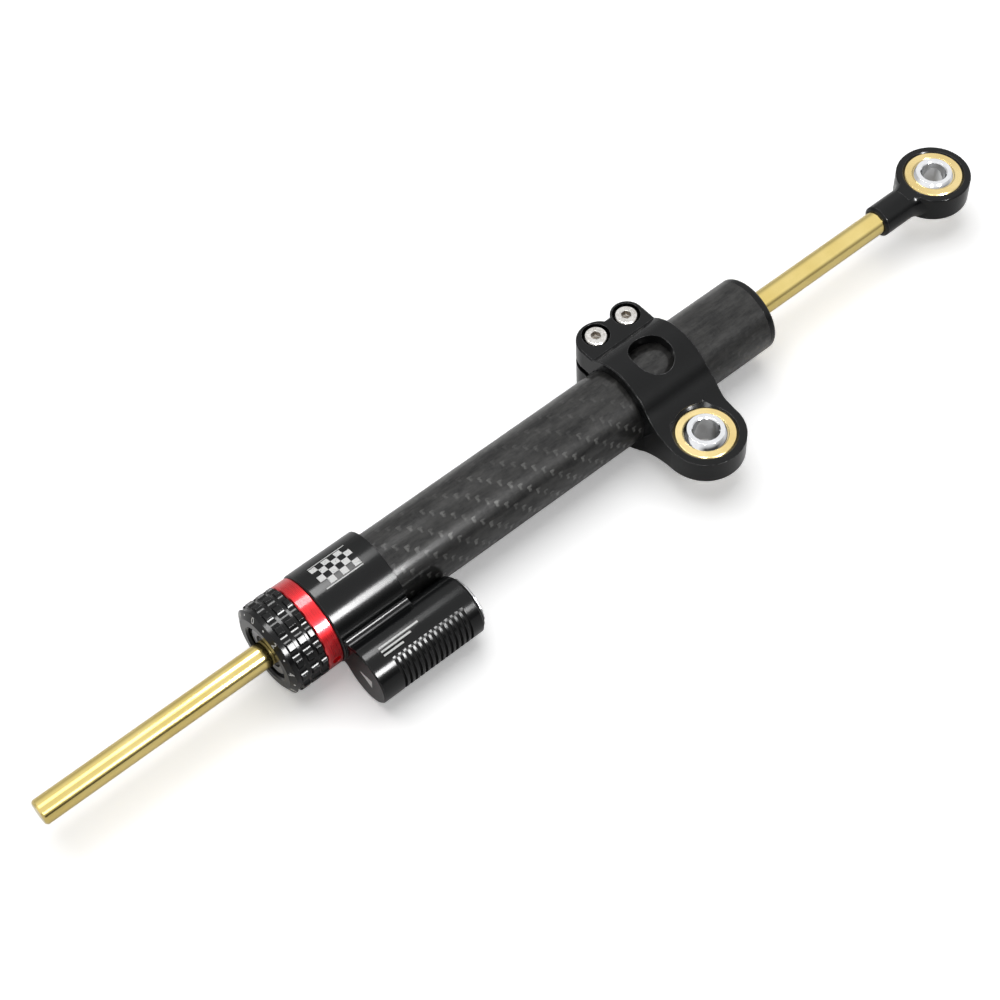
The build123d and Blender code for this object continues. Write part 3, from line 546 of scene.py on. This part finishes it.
milled_nodes = {"split_clamp", "rod_end"}
race_nodes = {"eye_race", "clamp_race"}
own_finish = {
    "clamp_screws": "screw_steel", "valve_sleeve": "sleeve_grey", "head_block": "grooved_black",
}


def finish_for(node, slot):
    """The finish a CAD node shows, from its slot and how it is made."""
    if node in own_finish:
        return finishes[own_finish[node]]
    if slot == "black_anodised":
        return finishes["milled_black" if node in milled_nodes else "turned_black"]
    if slot == "gold_coated":
        return finishes["race_gold" if node in race_nodes else "rod_gold"]
    return finishes[slot]


def finish_nodes():
    slots = {part["node"]: part["material_slot"] for part in frame["record"]["subparts"]}
    for node, piece in frame["nodes"].items():
        for index in range(len(piece.material_slots)):
            piece.material_slots[index].material = finish_for(node, slots[node])


def keep(mesh_maker, name, body, finish):
    """Turns a bmesh into a piece at the origin that rides on a body."""
    mesh = bpy.data.meshes.new(name)
    bmesh.ops.recalc_face_normals(mesh_maker, faces=mesh_maker.faces)
    mesh_maker.to_mesh(mesh)
    mesh_maker.free()
    mesh.materials.append(finish)
    piece = bpy.data.objects.new(name, mesh)
    bpy.context.scene.collection.objects.link(piece)
    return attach(piece, body)


def radial(turn):
    """Straight out from the damper's axis, turn degrees from the top toward the canister's side."""
    angle = math.radians(turn)
    return Vector((0.0, -math.sin(angle), math.cos(angle)))


def patch_round(maker, x0, x1, turn0, turn1, radius, middle_y, middle_z, steps):
    """A thin plate of paint bent round a cylinder along X: an edge spun, then thickened outward."""
    corners = []
    for x in (x0, x1):
        at = Vector((x, middle_y, middle_z)) + radial(turn0) * radius
        corners.append(bmesh.ops.create_vert(maker, co=at)["vert"][0])
    edge = maker.edges.new(corners)
    bmesh.ops.spin(
        maker, geom=[*corners, edge], cent=(0.0, middle_y, middle_z), axis=(1, 0, 0),
        angle=math.radians(turn1 - turn0), steps=steps, use_merge=False,
    )
    verts = connected(corners[0])
    faces = list({face for vert in verts for face in vert.link_faces})
    out = bmesh.ops.extrude_face_region(maker, geom=faces)["geom"]
    middle = Vector((0.0, middle_y, middle_z))
    for vert in (g for g in out if isinstance(g, bmesh.types.BMVert)):
        away = vert.co - middle
        away.x = 0.0
        vert.co += away.normalized() * paint_thick


def connected(start):
    """Every vertex joined to start by edges."""
    found, todo = {start}, [start]
    while todo:
        for edge in todo.pop().link_edges:
            for vert in edge.verts:
                if vert not in found:
                    found.add(vert)
                    todo.append(vert)
    return found


def chequer_print():
    """A plain straight chequer along the top of the head's sleeve, with a line each side."""
    maker = bmesh.new()
    turn_step = math.degrees(chequer_square / sleeve_r)
    radius = sleeve_r - paint_sunk
    for column in range(chequer_columns):
        for row in range(chequer_rows):
            if (column + row) % 2:
                continue
            x0 = chequer_start_x + column * chequer_square
            turn0 = chequer_start_turn + row * turn_step
            x1, turn1 = x0 + chequer_square, turn0 + turn_step
            patch_round(maker, x0, x1, turn0, turn1, radius, axis_y, axis_z, square_steps)
    x0, x1 = chequer_start_x, chequer_start_x + chequer_columns * chequer_square
    low = chequer_start_turn - (1.0 + side_line_gap) * side_line_turn
    high = chequer_start_turn + chequer_rows * turn_step + side_line_gap * side_line_turn
    for turn0 in (low, high):
        turn1 = turn0 + side_line_turn
        patch_round(maker, x0, x1, turn0, turn1, radius, axis_y, axis_z, side_line_steps)
    return keep(maker, "chequer_print", "barrel", finishes["paint"])


def canister_print():
    """Three plain lines along the canister's top, each shorter than the last."""
    maker = bmesh.new()
    radius = canister_r - paint_sunk
    for index, length in enumerate(line_lens):
        turn0 = line_start_turn + index * line_pitch_turn
        patch_round(
            maker, line_start_x, line_start_x + length, turn0, turn0 + line_turn,
            radius, canister_y, canister_z, line_steps,
        )
    return keep(maker, "canister_print", "barrel", finishes["paint"])


def plug_flange():
    """The faceted bright flange round the plug, standing on the canister's rear face."""
    maker = bmesh.new()
    front, rear = canister_rear + flange_gap, canister_rear + flange_len
    outline = (
        (front, flange_bore_r), (front, flange_r), (rear - flange_chamfer_len, flange_r),
        (rear, flange_face_r), (rear, flange_bore_r),
    )
    verts = [
        bmesh.ops.create_vert(maker, co=(x, canister_y, canister_z + radius))["vert"][0]
        for x, radius in outline
    ]
    edges = [maker.edges.new(pair) for pair in zip(verts, verts[1:] + verts[:1])]
    bmesh.ops.spin(
        maker, geom=[*verts, *edges], cent=(0.0, canister_y, canister_z), axis=(1, 0, 0),
        angle=2.0 * math.pi, steps=flange_sides, use_merge=True,
    )
    return keep(maker, "plug_flange", "barrel", finishes["sleeve_grey"])


def pointer_mark():
    """The small pale wedge cut on the canister's front face."""
    maker = bmesh.new()
    verts = []
    for across, up in wedge_corners:
        at = Vector((canister_front + paint_sunk, canister_y + across, canister_z + up))
        verts.append(bmesh.ops.create_vert(maker, co=at)["vert"][0])
    face = maker.faces.new(verts)
    out = bmesh.ops.extrude_face_region(maker, geom=[face])["geom"]
    moved = [g for g in out if isinstance(g, bmesh.types.BMVert)]
    bmesh.ops.translate(maker, verts=moved, vec=(-paint_thick - paint_sunk, 0, 0))
    return keep(maker, "pointer_mark", "barrel", finishes["paint"])


def on_bevel(turn, share):
    """The frame of a mark on the knob's front bevel: share 0 is its inner rim and 1 its outer."""
    run = Vector((bevel_back - bevel_front, 0, 0)) + radial(turn) * (bevel_out_r - bevel_in_r)
    up = run.normalized()
    start = Vector((bevel_front, 0, 0)) + radial(turn) * bevel_in_r
    middle = start + run * share
    round_way = radial(turn + 90.0)
    out = round_way.cross(up)
    if out.x > 0:
        out = -out
    across = up.cross(out)
    turned = Matrix((across, up, out)).transposed().to_4x4()
    return Matrix.Translation(middle - out * paint_sunk) @ turned


def dial_numbers():
    """Even numbers round the bevel, one for every second click."""
    maker = bmesh.new()
    for index in range(numbers):
        words = bpy.data.curves.new("number", "FONT")
        words.body = str(2 * index)
        words.size = number_size
        words.align_x = "CENTER"
        words.align_y = "CENTER"
        words.extrude = paint_thick
        words.resolution_u = number_curve_steps
        holder = bpy.data.objects.new("number", words)
        bpy.context.scene.collection.objects.link(holder)
        bpy.context.view_layer.update()
        evaluated = holder.evaluated_get(bpy.context.evaluated_depsgraph_get())
        flat = bpy.data.meshes.new_from_object(evaluated)
        bpy.data.objects.remove(holder)
        bpy.data.curves.remove(words)
        flat.transform(on_bevel(first_number_turn + index * number_gap, number_share))
        maker.from_mesh(flat)
        bpy.data.meshes.remove(flat)
    bmesh.ops.remove_doubles(maker, verts=maker.verts, dist=1e-7)
    return keep(maker, "dial_numbers", "knob", finishes["paint"])


def dial_dots():
    """A dot half-way between each two numbers."""
    maker = bmesh.new()
    for index in range(numbers):
        place = on_bevel(first_number_turn + (index + 0.5) * number_gap, dot_share)
        bmesh.ops.create_cone(
            maker, cap_ends=True, segments=dot_sides, radius1=dot_r, radius2=dot_r,
            depth=2 * paint_thick, matrix=place,
        )
    return keep(maker, "dial_dots", "knob", finishes["paint"])


def lay_floor():
    """A pale table that keeps the shadow, and is white where nothing shades it."""
    maker = bmesh.new()
    bmesh.ops.create_grid(maker, x_segments=1, y_segments=1, size=floor_half)
    bmesh.ops.translate(maker, verts=maker.verts, vec=(floor_middle_x, 0, floor_height))
    mesh = bpy.data.meshes.new("table_top")
    maker.to_mesh(mesh)
    maker.free()
    r = Recipe("table_white")
    seen = r.node("LightPath")
    pale = r.mean(seen.outputs["Is Camera Ray"], floor_white, floor_shown)
    white = r.node("CombineColor", {0: pale, 1: pale, 2: pale})
    plain = r.node("BsdfDiffuse", {"Color": white.outputs[0]})
    shown = r.times(seen.outputs["Is Camera Ray"], floor_glow)
    glow = r.node("Emission", {"Color": colour(1, 1, 1), "Strength": shown})
    both = r.node("AddShader", {0: plain.outputs[0], 1: glow.outputs[0]})
    out = r.node("OutputMaterial")
    r.tree.links.new(both.outputs[0], out.inputs["Surface"])
    mesh.materials.append(r.material)
    top = bpy.data.objects.new("table_top", mesh)
    bpy.context.scene.collection.objects.link(top)


def hang_panel(name, place, aim_x, size, power, lights_table=False):
    """A soft panel that faces the damper: one lights it and the table, the rest only gleam in metal."""
    panel = bpy.data.lights.new(name, "AREA")
    panel.shape = "RECTANGLE"
    panel.size, panel.size_y = size
    panel.energy = power
    stand = bpy.data.objects.new(name, panel)
    bpy.context.scene.collection.objects.link(stand)
    back = (Vector(place) - Vector((aim_x, 0.0, 0.0))).normalized()
    along = Vector((1, 0, 0))
    side = (along - back * along.dot(back)).normalized()
    up = back.cross(side)
    turned = Matrix((side, up, back)).transposed().to_4x4()
    stand.matrix_world = Matrix.Translation(Vector(place)) @ turned
    stand.visible_diffuse = lights_table
    stand.visible_glossy = not lights_table


def light_room():
    """White light from all round; metal sees a white room, grey far off and dark on the near side."""
    world = bpy.data.worlds.new("room")
    bpy.context.scene.world = world
    world.use_nodes = True
    r = Recipe.on(world.node_tree)
    seen = r.node("LightPath")
    x, y, z = r.axes()
    far = r.times(r.between(y, *far_side_y), r.between(z, *far_side_z))
    rightward = r.between(x, *near_side_x, 1.0, near_side_right)
    near = r.times(r.between(y, *near_side_y), r.between(z, *near_side_z), rightward)
    mirrored = r.mean(near, r.mean(far, sky_seen, far_seen), near_seen)
    glossy = r.calc("MAXIMUM", seen.outputs["Is Glossy Ray"], seen.outputs["Is Transmission Ray"])
    strength = r.mean(glossy, room_light, mirrored)
    strength = r.calc("MAXIMUM", strength, seen.outputs["Is Camera Ray"])
    white = r.node("Background", {"Color": colour(1, 1, 1), "Strength": strength})
    out = r.node("OutputWorld")
    r.tree.links.new(white.outputs[0], out.inputs["Surface"])


stand_camera()
light_room()
hang_panel("main_panel", *main_panel, lights_table=True)
hang_panel("gleam_panel", *gleam_panel)
hang_panel("crest_panel", *crest_panel)
hang_panel("rod_gleam_panel", *rod_gleam_panel)
hang_panel("rod_crest_panel", *rod_crest_panel)
hang_panel("glint_panel", *glint_panel)
lay_floor()
bpy.context.scene.view_settings.view_transform = "Standard"

finish_nodes()
chequer_print()
canister_print()
plug_flange()
pointer_mark()
dial_numbers()
dial_dots()
